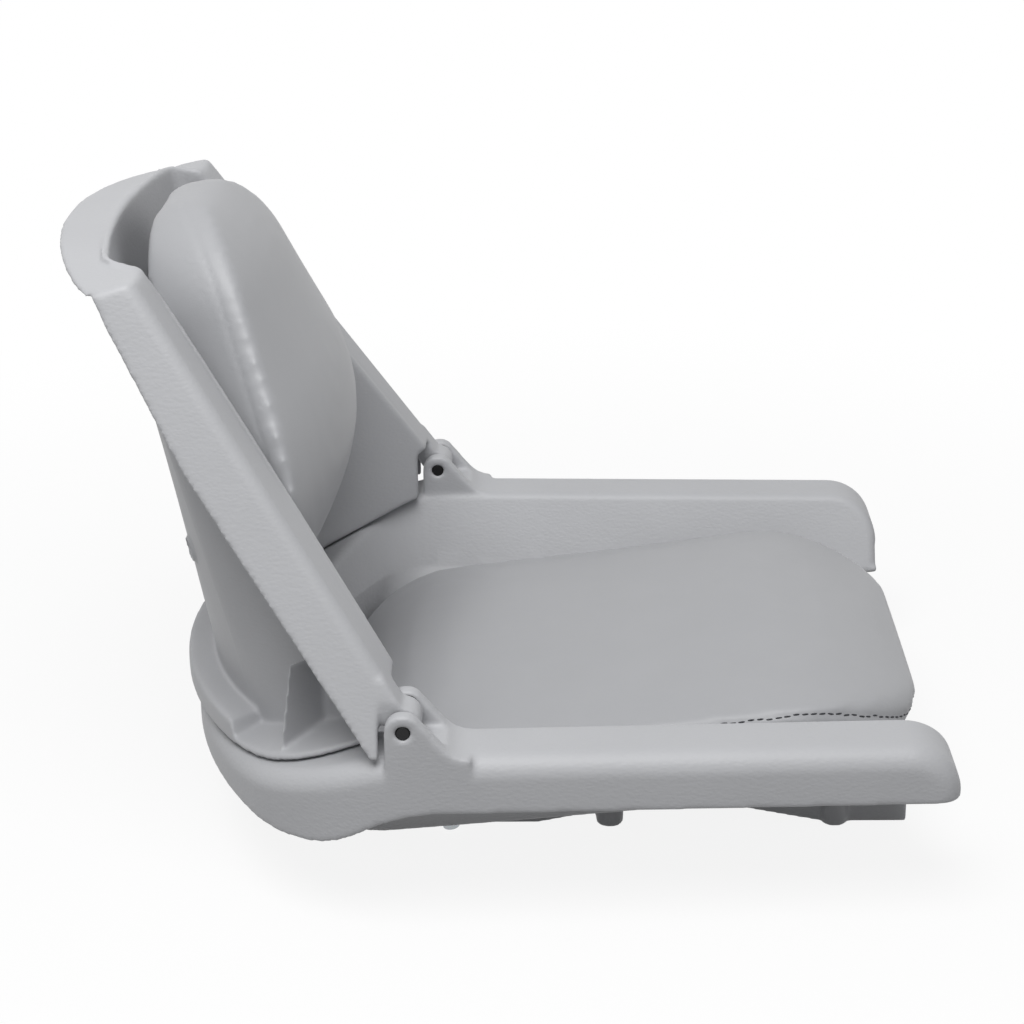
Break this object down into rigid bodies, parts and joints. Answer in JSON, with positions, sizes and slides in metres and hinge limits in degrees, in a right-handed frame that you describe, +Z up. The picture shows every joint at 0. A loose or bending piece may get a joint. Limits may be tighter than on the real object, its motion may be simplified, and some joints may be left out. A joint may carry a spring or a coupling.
{
  "type": "fishing boat seat",
  "caption": "Fold-down moulded boat seat with low side arms, a bolt-on base, a hinged shell back and padded vinyl cushions for the seat and the back.",
  "frame": {"origin": "centre of the bolt pattern on the mounting face under the base", "axes": "+X to the front of the seat, +Y to the sitter's left, +Z up; the mounting face is Z = 0"},
  "size_m": [0.497, 0.456, 0.3553],
  "materials": {
    "moulded_plastic": "light grey moulded plastic with a fine leather grain",
    "pin_black": "black coated steel rod",
    "bush_nylon": "black nylon",
    "insert_brass": "plain brass",
    "vinyl": "light grey marine vinyl with a fine grain",
    "plywood": "plain plywood",
    "foam": "open foam",
    "zinc_steel": "zinc-plated steel"
  },
  "bodies": {
    "base": {"seat_shell": "moulded_plastic", "hinge_pin_left": "pin_black", "hinge_pin_right": "pin_black", "mount_inserts": "insert_brass", "seat_cushion_top_panel": "vinyl", "seat_cushion_boxing": "vinyl", "seat_cushion_board": "plywood", "seat_cushion_foam": "foam", "seat_cushion_tnuts": "zinc_steel", "seat_cushion_washers": "zinc_steel", "seat_cushion_screws": "zinc_steel"},
    "backrest": {"back_shell": "moulded_plastic", "hinge_bushes_left": "bush_nylon", "hinge_bushes_right": "bush_nylon", "back_cushion_front_panel": "vinyl", "back_cushion_boxing": "vinyl", "back_cushion_board": "plywood", "back_cushion_foam": "foam", "back_cushion_tnuts": "zinc_steel", "back_cushion_washers": "zinc_steel", "back_cushion_screws": "zinc_steel"}
  },
  "joints": [
    {"name": "backrest_fold", "type": "hinge", "parent": "base", "child": "backrest", "pos_m": [-0.05, 0, 0.116], "axis": [0, 1, 0], "range_deg": [0, 108]}
  ]
}
